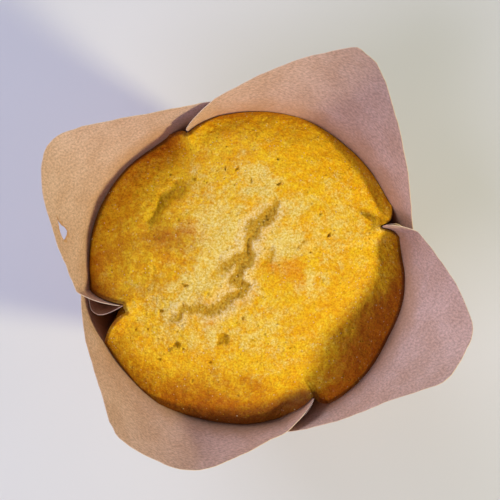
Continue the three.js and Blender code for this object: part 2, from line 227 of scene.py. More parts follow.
def petal_span(k):
    """Angles of the flat sheet from a petal's corner back to its start and on to its end."""
    start, end = petal_ends(k, PLEAT_FULL)
    return (PETALS[k].tip - start) * SHEET_SQUEEZE, (end - PETALS[k].tip) * SHEET_SQUEEZE


def petal_section(k, beta, path):
    """Direction and offset of a petal's points, for a direction of the flat sheet."""
    p = PETALS[k]
    back, on = petal_span(k)
    start, end = petal_ends(k, path)
    state = pleat_at(p, path)
    to_start = lerp(p.tip, start, -beta / back)
    angle = np.where(beta > 0, lerp(p.tip, end, beta / on), to_start)
    layer = 1 - 2 * (beta + back) / (back + on)
    near = np.maximum(1 - (end - angle) / p.reach, 0)
    return angle, LAYER_STEP * layer * state.raised - state.depth * near**PINCH_CURVE


for k in range(len(PETALS)):
    print("petal", k, "turns the flat sheet by", np.degrees(petal_span(k)).round(1), "degrees")

# %% [markdown]
# ## Pleats
#
# A pleat is three layers of paper, one step apart. Between two petals the sheet turns back on
# itself: round the inner crease, back as the middle layer, and round the outer crease. Each of
# these is a curve across the wall. A complex number holds such a point neatly: its real part is
# along the wall and its imaginary part is out from it.

# %% Pleats
MIDDLE_STEP = LAYER_STEP / 4
CREASE_RADIUS = (LAYER_STEP - MIDDLE_STEP) / 2
SWEEP_RUN = 5 * MM
NOSE_POINTS, SWEEP_POINTS, MIDDLE_POINTS, CREASE_POINTS = 8, 9, 12, 8


def pleat_section(k, path):
    """Directions and offsets of a pleat's points between two petals, one row for each path."""
    p = PETALS[k]
    path = np.atleast_1d(path)[:, None]
    state = pleat_at(p, path)
    crease = state.middle + state.overlap / 2
    radius, _, _ = wall_at(crease, path)
    steep = np.arctan(PINCH_CURVE * state.depth / (p.reach * radius))
    far = -state.overlap * radius

    nose = CREASE_RADIUS * (np.sin(steep) + 1j * np.cos(steep)) - 1j * (LAYER_STEP + state.depth)
    corner = np.maximum(p.mouth * state.pinch, far / 2) - 1j * MIDDLE_STEP
    settled_x = np.maximum(corner.real - SWEEP_RUN, (corner.real + far) / 2)
    settled = settled_x - 1j * MIDDLE_STEP
    way = corner - nose
    leave = np.angle(way) + np.arcsin(np.minimum(CREASE_RADIUS / np.abs(way), 1))

    leaving = lerp(-steep, leave, steps(NOSE_POINTS))
    round_nose = nose - 1j * CREASE_RADIUS * np.exp(1j * leaving)
    t = steps(SWEEP_POINTS)
    sweep = round_nose[:, -1:] * (1 - t) ** 2 + corner * 2 * t * (1 - t) + settled * t**2
    middle = lerp(settled, far + 1j * MIDDLE_STEP, steps(MIDDLE_POINTS)[:-1])
    turn = math.pi * np.arange(CREASE_POINTS) / CREASE_POINTS
    back = far + 1j * MIDDLE_STEP + 1j * CREASE_RADIUS * (1 - np.exp(-1j * turn))
    points = np.hstack([round_nose, sweep, middle, back])

    first, last = -1j * (LAYER_STEP + state.depth), far + 1j * LAYER_STEP
    run = np.cumsum(np.abs(np.diff(np.hstack([first, points, last]), axis=1)), axis=1)
    share = run[:, :-1] / run[:, -1:]
    flat = state.middle + PLEAT_SPREAD * (share - 0.5)
    wave = LAYER_STEP * (2 * share - 1)
    angle = lerp(flat, crease + points.real / radius, state.folded)
    return angle, lerp(wave, points.imag, state.folded) * state.raised


print(pleat_section(0, PLEAT_FULL)[0].shape[1], "columns turn each pleat")

# %% [markdown]
# ## The cut edge
#
# The sheet is a square with its corners trimmed, so its edge is the nearest of three straight lines
# in every direction. Cutting a finished mesh would leave ragged faces, so the grid itself ends at
# these lines. A soft minimum rounds the places where two of them meet, by each petal's own amount.
# A few small nicks and a fine waver keep the cut from looking drawn.

# %% The cut edge
NICKS = {
    1: [(-4.6, 0.45, 0.5), (15.4, 0.4, 0.7), (17.6, 0.35, 0.8)],
    2: [(-5.6, 0.7, 0.9), (-1, 0.25, 0.6)],
}
NICK_STEEPNESS = 3
EDGE_WAVER = 0.12 * MM
WAVERS = [(61, 1, 1.0), (143, 2, 0.6), (317, 0, 0.4)]
LEAST_COSINE = 0.1


def edge_path(k, beta):
    """Path at which the sheet ends, in a direction of the flat sheet."""
    p = PETALS[k]
    sides = []
    for turn in (QUARTER / 2, -QUARTER / 2):
        sides.append(SHEET_SIDE / 2 / np.maximum(np.cos(beta - turn), LEAST_COSINE))
    sides.append(p.cut / np.cos(beta - p.slant))
    nearest = np.min(sides, axis=0)
    rest = np.exp((nearest - np.array(sides)) / p.rounding).sum(axis=0)
    edge = nearest - p.rounding * np.log(rest) - BASE_RADIUS
    for at, depth, width in NICKS.get(k, []):
        along = (beta - rad(at)) / rad(width)
        after, before = np.maximum(along, 0), np.minimum(along, 0)
        edge = edge - depth * MM * np.exp(-(after**2) - (NICK_STEEPNESS * before) ** 2)
    waver = sum(high * np.sin(beta * often + k * shift) for often, shift, high in WAVERS)
    return edge + EDGE_WAVER * waver


print("the first petal ends %.1f mm up the paper" % (edge_path(0, np.array([0.0]))[0] / MM))

# %% [markdown]
# ## A grid over the whole sheet
#
# Columns run up the sheet and rows run round it. They stand closer together where the paper bends
# more: at the foot, at the flare, at the petals' corners and in the pleats. Rows of the wall have
# the same path on every layer, so that the layers of a pleat keep their distance.

# %% A grid over the whole sheet
WALL_ROWS = MM * np.concatenate([
    np.linspace(0, 3.78, 6),
    np.linspace(4.6, 12, 9),
    np.linspace(14.5, 40, 11),
    np.linspace(42, 50, 7),
])
PETAL_SHARES = np.linspace(0, 1, 25)[1:]
BACK_SHARES = np.linspace(1, 0, 36) ** 1.4
ON_SHARES = np.linspace(0, 1, 26)[1:] ** 1.2
PINCH_SHARES = 1 - (1 - np.linspace(0, 1, 17)[1:]) ** 1.3
MOST_PINCHED = 0.4


def row_paths(edge):
    """Paths of every row, for columns that end at the given edges."""
    wall = np.repeat(WALL_ROWS[:, None], len(edge), axis=1)
    petals = lerp(FLARE_TO, edge[None, :], PETAL_SHARES[:, None])
    return np.vstack([wall, petals])


def case_grid():
    """Directions, paths and offsets of the sheet's middle, and directions on the flat sheet."""
    parts = []
    for k, p in enumerate(PETALS):
        back, on = petal_span(k)
        pinched = on * (1 - min(p.reach * SHEET_SQUEEZE / on, MOST_PINCHED))
        beta = np.concatenate([
            -back * BACK_SHARES,
            pinched * ON_SHARES,
            lerp(pinched, on, PINCH_SHARES),
        ])
        path = row_paths(edge_path(k, beta))
        angle, offset = petal_section(k, beta, path)
        parts.append(np.broadcast_arrays(angle, path, offset, k * QUARTER + beta))

        count = pleat_section(k, PLEAT_FULL)[0].shape[1]
        resume = QUARTER - petal_span((k + 1) % len(PETALS))[0]
        beta = lerp(on, resume, steps(count + 1)[:-1])
        path = row_paths(edge_path(k, beta))
        turned = [pleat_section(k, path[:, i]) for i in range(count)]
        angle, offset = [
            np.stack([turned[i][j][:, i] for i in range(count)], axis=1) for j in (0, 1)
        ]
        parts.append(np.broadcast_arrays(angle, path, offset, k * QUARTER + beta))
    return [np.hstack(arrays) for arrays in zip(*parts)]


sheet_angle, sheet_path, sheet_offset, flat_angle = case_grid()
sheet = shell_point(sheet_angle, sheet_path, sheet_offset)
print("grid of", sheet.shape[0], "rows by", sheet.shape[1], "columns")

# %% [markdown]
# ## Waves in the paper
#
# Baking leaves paper a little wavy. A Displace modifier would push each piece its own way. These
# waves push points towards or away from the case's axis by a noise that depends only on where a
# point is, so the three layers of a pleat and the muffin's side move together and never cross. The
# free tips move most.

# %% Waves in the paper
FLAT_WAVE, TIP_WAVE = 0.1 * MM, 0.55 * MM
RIBS_ROUND, RIB_HEIGHT = 6.4, 30 * MM
WAVE_LENGTH, WAVE_HEIGHT = 17 * MM, 15 * MM
FREE_FROM, FREE_TO = 46 * MM, 70 * MM
STILL_TO, WAVY_FROM = 0.5 * MM, 6 * MM


def waves(points):
    """The same points, pushed in and out by slow noise."""
    flat = points.reshape(-1, 3)
    radius = np.hypot(flat[:, 0], flat[:, 1])
    angle = np.arctan2(flat[:, 1], flat[:, 0])
    push = np.empty(len(flat))
    for i, (x, y, z) in enumerate(flat):
        a = angle[i]
        ribs = noise.noise((RIBS_ROUND * math.cos(a), RIBS_ROUND * math.sin(a), z / RIB_HEIGHT))
        slow = noise.noise((x / WAVE_LENGTH, y / WAVE_LENGTH, z / WAVE_HEIGHT))
        free = smooth(z, FREE_FROM, FREE_TO)
        push[i] = (FLAT_WAVE * ribs + TIP_WAVE * free * slow) * smooth(z, STILL_TO, WAVY_FROM)
    out = flat.copy()
    for axis in (0, 1):
        out[:, axis] += push * flat[:, axis] / np.maximum(radius, MM)
    return out.reshape(points.shape)


sheet = waves(sheet)
sheet_box = sheet.min(axis=(0, 1)), sheet.max(axis=(0, 1))
for name, box in (("sheet", sheet_box), ("solid", case_box)):
    print(name, "mm:", *[np.round(np.array(corner) / MM, 1) for corner in box])

# %% [markdown]
# ## From grid to mesh
#
# A grid of points becomes a mesh when neighbours are joined by four-sided faces. The base is closed
# by smaller rings, which stay evenly spaced, and a fan round one middle point. The muffin's side
# and bottom are made by the same helpers later on.

# %% From grid to mesh
BASE_RINGS = [0.2, 0.45, 0.7, 0.88, 0.96]
BASE_RISE = 0.25 * MM


def base_ring(edge, share, lift=0.0):
    """An edge drawn in to a share of its size, on a base that rises a little in the middle."""
    ring = edge * share
    ring[:, 2] = PAPER / 2 + lift + BASE_RISE * (1 - share**2)
    return ring


def ring_faces(rings, width, first=0):
    """Quads between neighbouring rings of points, each ring having the same number of them."""
    faces = []
    for low in range(first, first + (rings - 1) * width, width):
        for i in range(width):
            j = (i + 1) % width
            faces.append((low + i, low + j, low + width + j, low + width + i))
    return faces


def fan_faces(hub, first, width):
    """Triangles from one middle point to a ring."""
    return [(hub, first + (i + 1) % width, first + i) for i in range(width)]


def new_object(name, vertices, faces):
    mesh = bpy.data.meshes.new(name)
    mesh.from_pydata([tuple(v) for v in vertices], [], faces)
    mesh.update()
    thing = bpy.data.objects.new(name, mesh)
    scene.collection.objects.link(thing)
    return thing


rings = [base_ring(sheet[0], share) for share in BASE_RINGS]
points = np.vstack([*rings, sheet.reshape(-1, 3)])
width = sheet.shape[1]
faces = ring_faces(len(points) // width, width)
faces += fan_faces(len(points), 0, width)
points = np.vstack([points, base_ring(sheet[0][:1], 0)])
case = new_object("folded_case", points, faces)
print("sheet:", len(faces), "faces")

# %% [markdown]
# ## Paper with a thickness
#
# So far this is a sheet with no thickness. The Solidify modifier turns it into real paper with an
# inside, an outside and a cut edge, which gets a material of its own. Before that, every point
# notes where it lay on the flat sheet, because the paper's pattern must turn with the folds.
# Applying the modifier makes the thickness part of the mesh.

# %% Paper with a thickness
def flat_places():
    """Where every point of the case lay on the flat sheet, in millimetres."""
    reach = (BASE_RADIUS + sheet_path) / MM
    reach = np.vstack([np.outer(BASE_RINGS, reach[0]), reach])
    turn = np.vstack([flat_angle[:1]] * len(BASE_RINGS) + [flat_angle])
    placed = np.stack([reach * np.cos(turn), reach * np.sin(turn)], axis=-1).reshape(-1, 2)
    return np.vstack([placed, [[0, 0]]])


def apply_modifiers(thing):
    """Replaces an object's mesh by what its modifiers make of it."""
    graph = bpy.context.evaluated_depsgraph_get()
    made = bpy.data.meshes.new_from_object(thing.evaluated_get(graph))
    thing.modifiers.clear()
    thing.data = made


flat = flat_places()
layer = case.data.attributes.new("flat_sheet", "FLOAT_VECTOR", "POINT")
layer.data.foreach_set("vector", np.column_stack([flat, np.zeros(len(flat))]).ravel())

thickness = case.modifiers.new("paper", "SOLIDIFY")
thickness.thickness = PAPER
thickness.offset = 0
thickness.use_even_offset = True
thickness.material_offset_rim = 1
case.data.materials.append(None)
case.data.materials.append(None)
apply_modifiers(case)
print("paper case:", len(case.data.polygons), "faces,", PAPER / MM, "mm thick")

# %% [markdown]
# ## A small tear in one petal
#
# The paper of the left petal has a hole with a slit above it. Its outline is drawn flat, as seen
# from inside the case, then stood on the petal and given depth. A Boolean modifier subtracts this
# punch, which leaves clean walls as thick as the paper.

# %% A small tear in one petal
HOLE_PETAL, HOLE_BETA, HOLE_PATH = 1, rad(9.9), 64.6 * MM
HOLE = [
    (-3.3, 3.2), (-2.0, 2.0), (-1.3, 0.7), (-0.95, -0.8), (-0.2, -2.0), (0.7, -2.0), (1.7, -1.4),
    (2.2, -0.9), (1.6, 0.1), (0.5, 1.05), (-0.4, 1.65), (-1.3, 1.95), (-2.1, 2.45),
]
NUDGE, PUNCH_DEPTH = 0.1 * MM, 2 * MM
SHARP_FROM = rad(50)


def near_hole(turned, raised):
    """A point of the petal, a little way round the case or up the petal from the hole."""
    beta, path = np.array([HOLE_BETA + turned]), np.array([HOLE_PATH + raised])
    angle, offset = petal_section(HOLE_PETAL, beta, path)
    return Vector(waves(shell_point(angle, path, offset))[0])


side = NUDGE / HOLE_PATH
place, along = near_hole(0, 0), near_hole(side, 0) - near_hole(-side, 0)
through = along.cross(near_hole(0, NUDGE) - near_hole(0, -NUDGE)).normalized()
along = along.normalized()
up = through.cross(along)
count = len(HOLE)
corners = [place + (along * x + up * y) * MM for x, y in HOLE]
walls = [(i, (i + 1) % count, count + (i + 1) % count, count + i) for i in range(count)]
punch = new_object(
    "punch",
    [p - through * PUNCH_DEPTH for p in corners] + [p + through * PUNCH_DEPTH for p in corners],
    [tuple(reversed(range(count))), tuple(range(count, 2 * count)), *walls],
)
hole = case.modifiers.new("tear", "BOOLEAN")
hole.object = punch
hole.solver = "MANIFOLD"
before = len(case.data.polygons)
apply_modifiers(case)
bpy.data.objects.remove(punch)
case.data.shade_smooth()
case.data.set_sharp_from_angle(angle=SHARP_FROM)
print("the tear changes", len(case.data.polygons) - before, "faces")

# %% [markdown]
# ## Room inside the paper
#
# Batter fills whatever holds it, so the muffin's side follows the inside of the paper at a hair's
# distance. Where a crease is pinched in, the muffin has a groove. A Boolean could carve the muffin
# with the paper, but the paper is too thin for that to come out clean. Instead we ask the paper's
# own functions how far in it stands.

# %% Room inside the paper
AIR = 0.12 * MM + PAPER / 2


def paper_offset(k, angle, path):
    """Offset of petal k's paper, found from a direction round the case."""
    p = PETALS[k]
    back, on = petal_span(k)
    start, end = petal_ends(k, path)
    to_start = back / (p.tip - start)
    beta = np.where(angle > p.tip, on / (end - p.tip), to_start) * (angle - p.tip)
    return petal_section(k, beta, path)[1]


def groove_at(k, path):
    """Offset of a groove's bottom, how far it goes past the crease, and its flank's slope."""
    p = PETALS[k]
    state = pleat_at(p, path)
    radius = wall_at(state.inner, path)[0] - state.depth
    slope = PINCH_CURVE * state.depth / (p.reach * radius)
    steep = np.arctan(slope)
    bottom = -LAYER_STEP - state.depth - CREASE_RADIUS * (1 - np.cos(steep)) - AIR
    side = CREASE_RADIUS * (1 + np.sin(steep)) + AIR + np.maximum(p.mouth * state.pinch, 0) / 2
    return bottom, side / radius, slope


for k in range(len(PETALS)):
    print("groove %d is %.1f mm deep" % (k, -groove_at(k, PLEAT_FULL)[0] / MM))

# %% [markdown]
# ## The muffin's outline
#
# The outline at one height is walked petal by petal: along the bottom of the groove before it,
# through the swelling that follows, along the plain side, and down the pinched flank to the next
# crease. Every height has the same number of points in each stretch, so a column keeps its place
# all the way down. A second outline without grooves comes along, for the dome to be measured by.

# %% The muffin's outline
RECOVERY = [rad(7), rad(8), rad(4), rad(6)]
FULLNESS = [0.6, 0.6, 0.45, 0.3]
GROOVE_POINTS, PAST_POINTS, PLAIN_POINTS, FLANK_POINTS = 6, 28, 182, 44


def muffin_outline(path):
    """Directions, offsets, and offsets without any groove, all round at one path."""
    parts = []
    for k, p in enumerate(PETALS):
        turn = math.tau if k == 0 else 0
        crease_before = pleat_at(PETALS[k - 1], path).inner - turn
        bottom_before, beyond, _ = groove_at((k - 1) % len(PETALS), path)
        start = crease_before + beyond
        formed = pleat_at(p, path).folded
        plain = start + lerp(PLEAT_SPREAD, RECOVERY[k - 1], formed)
        crease = pleat_at(p, path).inner
        flank = crease - p.reach
        bottom, _, slope = groove_at(k, path)
        settled = paper_offset(k, plain, path) - AIR
        last = paper_offset(k, flank, path) - AIR

        angle = lerp(crease_before, start, steps(GROOVE_POINTS + 1)[:-1])
        parts.append(np.broadcast_arrays(angle, bottom_before, settled))
        share = np.arange(PAST_POINTS) / PAST_POINTS
        swell = lerp(bottom_before, settled, share ** lerp(1, FULLNESS[k - 1], formed))
        parts.append(np.broadcast_arrays(lerp(start, plain, share), swell, settled))
        angle = lerp(plain, flank, np.arange(PLAIN_POINTS) / PLAIN_POINTS)
        whole = paper_offset(k, angle, path) - AIR
        parts.append((angle, whole, whole))
        share = steps(FLANK_POINTS)
        angle = lerp(flank, crease, share)
        air = AIR * np.hypot(1, slope * share ** (PINCH_CURVE - 1))
        inner = np.maximum(paper_offset(k, angle, path) - air, bottom)
        parts.append(np.broadcast_arrays(angle, inner, last))
    return [np.hstack(arrays) for arrays in zip(*parts)]


def outline_points(path):
    """The outline as points, with its grooves and without."""
    angle, offset, whole = muffin_outline(path)
    return shell_point(angle, path, offset), shell_point(angle, path, whole)


print(len(muffin_outline(PLEAT_FULL)[0]), "columns in an outline")

# %% [markdown]
# ## The edge of the crust
#
# The edge is where the crust meets the paper. It rose a little higher on one side, up to the
# paper's own edge in the grooves, and less far in a few places between them. One flat ring would
# look poured. A stack of outlines lets every column end at its own height.

# %% The edge of the crust
CRUST_PATH = 51 * MM
GROOVE_LIFT, GROOVE_SPREAD = 3 * MM, rad(9)
CRUST_TILT, TILT_TOWARD = 1.5 * MM, rad(225)
OUTLINE_STEP = 1.5 * MM
OUTLINE_PATHS = np.arange(FLARE_FROM, 57.1 * MM, OUTLINE_STEP)
SUNK = [
    (0, 0.2), (6, 1.2), (11, 1.6), (15, 0.2), (19, 1), (26, 1.2), (34, 0.4), (40, 0.2),
    (52, 0.3), (60, -0.2), (72, -0.8), (95, -0.4), (105, 0), (112, 0.7), (114, 0), (118, 2.3),
    (123, 3.2), (130, 2.7), (140, 1.3), (154, 0.8), (168, 0), (236, 0), (245, 1.6), (255, 2.4),
    (276, 1.8), (287, 2.8), (291, 2.2), (296, 2), (301, 2.8), (306, 0.6), (312, -0.6),
    (320, -0.4), (335, 1.2), (350, 0.2),
]


def near_groove(angle):
    """1 at the bottom of a groove, falling to 0 a few degrees away on both sides."""
    nearest = np.min(np.abs([turn_from(p.crease, angle) for p in PETALS]), axis=0)
    return np.exp(-((nearest / GROOVE_SPREAD) ** 2))


def at_paths(stack, paths):
    """Reads every column at its own path, between the outlines of a stack."""
    level = (paths - OUTLINE_PATHS[0]) / OUTLINE_STEP
    below = np.clip(level.astype(int), 0, len(stack) - 2)
    every = np.arange(len(paths))
    return lerp(stack[below, every], stack[below + 1, every], (level - below)[:, None])


grooved, whole = np.swapaxes([outline_points(path) for path in OUTLINE_PATHS], 0, 1)
turn = muffin_outline(CRUST_PATH)[0]
columns = len(turn)
sunk_turns, sunk_by = np.transpose(SUNK)
sunk = MM * np.interp(np.degrees(turn), sunk_turns, sunk_by, period=360)
whole_path = CRUST_PATH + CRUST_TILT * np.cos(turn - TILT_TOWARD) - sunk
rim_path = whole_path + GROOVE_LIFT * near_groove(turn)
rim, whole_rim = at_paths(grooved, rim_path), at_paths(whole, whole_path)
print("edge from %.1f to %.1f mm high" % (rim[:, 2].min() / MM, rim[:, 2].max() / MM))

# %% [markdown]
# ## A net over the crown
#
# Spokes from a middle point would crowd together on the very place that shows most. A square net
# has even cells instead, and each of its square rings is bent into a round one, so that the
# outermost ring meets the muffin's columns one to one.

# %% A net over the crown
RINGS = columns // 8
RIM_CROWDING, NOTCH_FADE = 1.15, 3.2


def square_net(rings):
    """For every point of a square net: its ring, and its share of the way round that ring."""
    a, b = np.meshgrid(np.arange(-rings, rings + 1), np.arange(-rings, rings + 1), indexing="ij")
    a, b = a.ravel(), b.ravel()
    ring = np.maximum(np.abs(a), np.abs(b))
    east = (a == ring) & (b < ring)
    north = (b == ring) & (a > -ring)
    west = (a == -ring) & (b > -ring)
    passed = np.select([east, north, west], [b + ring, 3 * ring - a, 5 * ring - b], a + 7 * ring)
    return ring, passed / (8 * np.maximum(ring, 1))


net_ring, net_round = square_net(RINGS)
column = net_round * columns
low = np.floor(column).astype(int) % columns
part = column - np.floor(column)


def along_rim(values):
    """Values of the rim's columns, read between them."""
    return lerp(values[low], values[(low + 1) % columns], part)


ring_share = 1 - (1 - net_ring / RINGS) ** RIM_CROWDING
blend = ring_share**NOTCH_FADE
crown_x, crown_y = [
    lerp(along_rim(whole_rim[:, axis]), along_rim(rim[:, axis]), blend) * ring_share
    for axis in (0, 1)
]
print(len(crown_x), "points on the crown,", 8 * RINGS, "of them on its edge")

# %% [markdown]
# ## The risen dome
#
# Batter that rises in a mould stays low along the paper and high in the middle. Part of a ball
# would be too pointed, so the height follows a blunter curve. It depends on the share of the way
# out from the middle, measured against the outline without grooves, and round each groove the
# crust dips softly down to the crease.

# %% The risen dome
DOME_HEIGHT = 12.5 * MM
DOME_SQUARENESS, DOME_SHOULDER = 2.4, 0.82
GROOVE_DIP, DIP_SHARE, DIP_CURVE = 2.2 * MM, 0.12, 0.6
RIM_FOLLOW = 3 * MM
SMOOTHING = 61
TINY = 1e-9


def calmed(values):
    """Values round the rim, averaged with their neighbours."""
    kernel = np.hanning(SMOOTHING) / np.hanning(SMOOTHING).sum()
    lapped = np.concatenate([values[-SMOOTHING:], values, values[:SMOOTHING]])
    return np.convolve(lapped, kernel, mode="same")[SMOOTHING:-SMOOTHING]


turn_round = np.arctan2(crown_y, crown_x)
whole_turn = np.arctan2(whole_rim[:, 1], whole_rim[:, 0])
order = np.argsort(whole_turn)
whole_radius = calmed(np.hypot(whole_rim[:, 0], whole_rim[:, 1]))
reach = np.interp(turn_round, whole_turn[order], whole_radius[order], period=math.tau)
rho = np.minimum(np.hypot(crown_x, crown_y) / reach, 1)

rim_tree = kdtree.KDTree(columns)
for i in range(columns):
    rim_tree.insert((rim[i, 0], rim[i, 1], 0), i)
rim_tree.balance()
rim_near = np.array([rim_tree.find((x, y, 0))[2] for x, y in zip(crown_x, crown_y)])
inside = np.maximum(reach * (1 - rho), TINY)
dipped = 1 - np.minimum(rim_near / inside, 1) ** DIP_CURVE
dip = 1 - DIP_SHARE * dipped * np.exp(-((rim_near / GROOVE_DIP) ** 2))

crest = wall_at(PETALS[0].crease, CRUST_PATH)[1] + DOME_HEIGHT
calm_rim = calmed(whole_rim[:, 2])[order]
calm_height = np.interp(turn_round, whole_turn[order], calm_rim, period=math.tau)
rim_height = lerp(calm_height, along_rim(rim[:, 2]), np.exp(-((rim_near / RIM_FOLLOW) ** 2)))
rise = (1 - rho**DOME_SQUARENESS) ** DOME_SHOULDER * dip
crown_z = lerp(rim_height, crest, rise)
print("crest %.1f mm high, rim %.1f mm" % (crest / MM, rim[:, 2].mean() / MM))

# %% [markdown]
# ## Where the crown tore
#
# A crust sets before the middle has finished rising, so it tears, and small bubbles leave pits.
# Both could be sculpted by hand, but a list is easier to change. A tear is a chain of points with a
# half width and a depth, and a pit is one point with a radius and a depth, all in millimetres.

# %% Where the crown tore
TEARS = [
    [(6.6, 17.6, 0.4, 0.5), (6.8, 15.3, 0.7, 1.1), (5.2, 13.5, 1.1, 2.4), (3.8, 11.6, 0.9, 1.9),
     (1.6, 10.7, 0.7, 1.4), (1.3, 8.6, 0.9, 1.7), (0.1, 6.7, 0.7, 1.5), (0.4, 4, 0.7, 2.2),
     (-0.6, 2.2, 1, 2), (-1.9, 0.2, 0.6, 1.6), (-2.8, -2.5, 1, 1.6), (-0.8, -4.2, 0.7, 1.6),
     (-1.5, -6.1, 0.9, 1.3), (-3.4, -6.4, 0.6, 1.3), (-5.2, -7.6, 0.9, 1.5), (-5.9, -8.9, 0.8, 1.3),
     (-9.2, -10, 0.8, 1.3), (-13.4, -9.4, 1.1, 1), (-15.6, -10, 0.7, 1),
     (-16.7, -11.4, 0.5, 1.3), (-18.4, -12, 0.7, 0.8)],
    [(0.2, 3.4, 0.6, 1.4), (-1.9, 2.7, 0.7, 1.3), (-4.5, 1.7, 0.7, 1.1), (-6, -0.2, 1, 0.9),
     (-7.9, -1.3, 0.8, 0.6)],
    [(2.6, 10.9, 0.6, 1.2), (0.2, 10.5, 0.5, 0.6), (-0.9, 9.4, 0.4, 0.4)],
    [(13.9, 6.8, 0.3, 0.7), (12.6, 5.9, 0.3, 0.7), (10.6, 5.2, 0.25, 0.5)],
    [(6, 4.4, 0.4, 0.9), (5.4, 2.6, 0.5, 0.8), (3.6, 0.8, 0.4, 0.5)],
    [(-16.1, -11.6, 0.25, 0.5), (-16, -15.6, 0.2, 0.25)],
    [(-23, 0.9, 0.22, 0.45), (-23.1, -4.7, 0.22, 0.4)],
    [(-21.9, -5, 0.3, 0.45), (-22.1, -7.4, 0.25, 0.4)],
    [(-19.9, 1.2, 0.2, 0.4), (-20.1, -0.6, 0.2, 0.3)],
]
PITS = [
    (-20.8, -10.3, 0.5, 0.9), (-17.5, -18.6, 0.9, 1.2), (-19.4, -19.9, 0.6, 0.5),
    (-6.1, -17.2, 1.3, 1), (-7.3, -18.2, 0.6, 0.8), (-15.7, -19.8, 0.3, 0.8),
    (-15.2, -3.6, 0.4, 0.9), (-24.5, -14.6, 0.3, 0.7), (-27.6, -15.2, 0.35, 0.7),
    (-19.1, 23.4, 0.35, 0.8), (-17.1, 12.1, 0.3, 0.6), (-22, 7.7, 0.35, 0.7),
    (-4.6, 26.9, 0.3, 0.5), (-5.6, 24.8, 0.3, 0.7), (-2.5, 24.5, 0.4, 0.8), (-13.2, 22.3, 0.3, 0.6),
    (7.4, 27.5, 0.4, 0.6), (1, 21.4, 0.35, 0.5), (7.6, 20.8, 0.4, 0.7), (19.7, 8.6, 0.5, 0.8),
    (15.2, 4.5, 0.35, 0.6), (25.5, 15.2, 0.3, 0.5), (17.5, 13.6, 0.35, 0.5),
    (-8.6, -22.6, 0.3, 0.6), (-21.4, -22.3, 0.3, 0.6), (-13.1, -27.7, 0.3, 0.6),
    (-2.2, -31.5, 0.35, 0.6), (-1, -12, 0.4, 0.6), (-6.8, -10.6, 0.35, 1.1),
]
print(len(TEARS), "tears and", len(PITS), "pits")

# %% [markdown]
# ## Cutting the tears
#
# Every point of the net looks for its nearest tear and sinks by that tear's depth. Straight lines
# would look cut with a knife, so the points are shifted by noise before they measure, which makes
# the edges ragged. The same search gives the torn area, where the crumb is bare.

# %% Cutting the tears
RAGGED = [(0.75, 2.6), (0.3, 0.8)]
TEAR_DEPTH, TEAR_WIDTH = 0.5, 1.7
DEEP_TEAR, CRUMB_REACH = 1.5, 4
LEAST_CUT = 0.75

flat_x, flat_y, flat_z = crown_x / MM, crown_y / MM, crown_z / MM


def grain(size, seed, octaves=3):
    """Fractal noise over the crown, with lumps of about a size in millimetres."""
    places = np.stack([flat_x, flat_y, flat_z], axis=1) / size + seed
    return np.array([noise.fractal(p, 0.9, 2.0, octaves) for p in places])


def near_tear(x, y, tear):
    """Distance to a tear's line, and its half width and depth at the nearest point."""
    best = np.full(len(x), math.inf)
    width, depth = np.ones(len(x)), np.zeros(len(x))
    for (x0, y0, w0, d0), (x1, y1, w1, d1) in zip(tear, tear[1:]):
        dx, dy = x1 - x0, y1 - y0
        t = np.clip(((x - x0) * dx + (y - y0) * dy) / (dx * dx + dy * dy), 0, 1)
        away = np.hypot(x - x0 - t * dx, y - y0 - t * dy)
        closer = away < best
        best = np.where(closer, away, best)
        width = np.where(closer, lerp(w0, w1, t), width)
        depth = np.where(closer, lerp(d0, d1, t), depth)
    return best, width, depth


shifted_x, shifted_y = flat_x.copy(), flat_y.copy()
for amount, size in RAGGED:
    shifted_x += amount * grain(size, 3.1, 2)
    shifted_y += amount * grain(size, 17.7, 2)

cut, torn = np.zeros(len(flat_x)), np.zeros(len(flat_x))
for tear in TEARS:
    away, width, depth = near_tear(shifted_x, shifted_y, tear)
    cut = np.maximum(cut, TEAR_DEPTH * depth * np.exp(-((away / width / TEAR_WIDTH) ** 2)))
    opened = np.minimum(depth, DEEP_TEAR) / DEEP_TEAR
    torn = np.maximum(torn, opened * np.exp(-((away / CRUMB_REACH) ** 2)))
cut *= LEAST_CUT + np.abs(grain(0.9, 12.0, 2))
for x, y, radius, depth in PITS:
    away = np.hypot(shifted_x - x, shifted_y - y)
    cut = np.maximum(cut, depth * np.exp(-((away / radius) ** 4)))
print("deepest tear %.1f mm, torn area %.0f%%" % (cut.max(), 100 * np.mean(torn > 0.3)))

# %% [markdown]
# ## Lumps, crumb and a fold
#
# The unbroken crust has low lumps and a fine grain. Beside the tears the crumb is bare, so it
# stands up in small pale lumps. One shallow fold runs across the upper left, where the middle rose
# past a part that had already set. All of this is real shape, because bump alone disappears at the
# edge and gives no shadows.

# %% Lumps, crumb and a fold
BROAD_HIGH, LUMPS_HIGH, FINE_HIGH = 0.45, 0.25, 0.16
CRUMB_LIFT, CRUMB_HIGH, CRUMB_FINE = 0.25, 0.5, 0.08
FOLD = [(-14, 21.3, 2.2, 0.3), (-17, 19.6, 1.8, 1), (-19.9, 17.9, 1.6, 1.7),
        (-20.7, 16.2, 1.4, 1.7), (-22.2, 13.2, 1.3, 1.3), (-24.4, 10.6, 1.2, 0.4)]
EDGE_CALM = 1.6
broad, lumps, fine = grain(11, 5.0, 2), grain(3.2, 9.0, 3), grain(0.9, 2.0, 2)
crumbs = np.abs(grain(1.5, 31.0, 3))

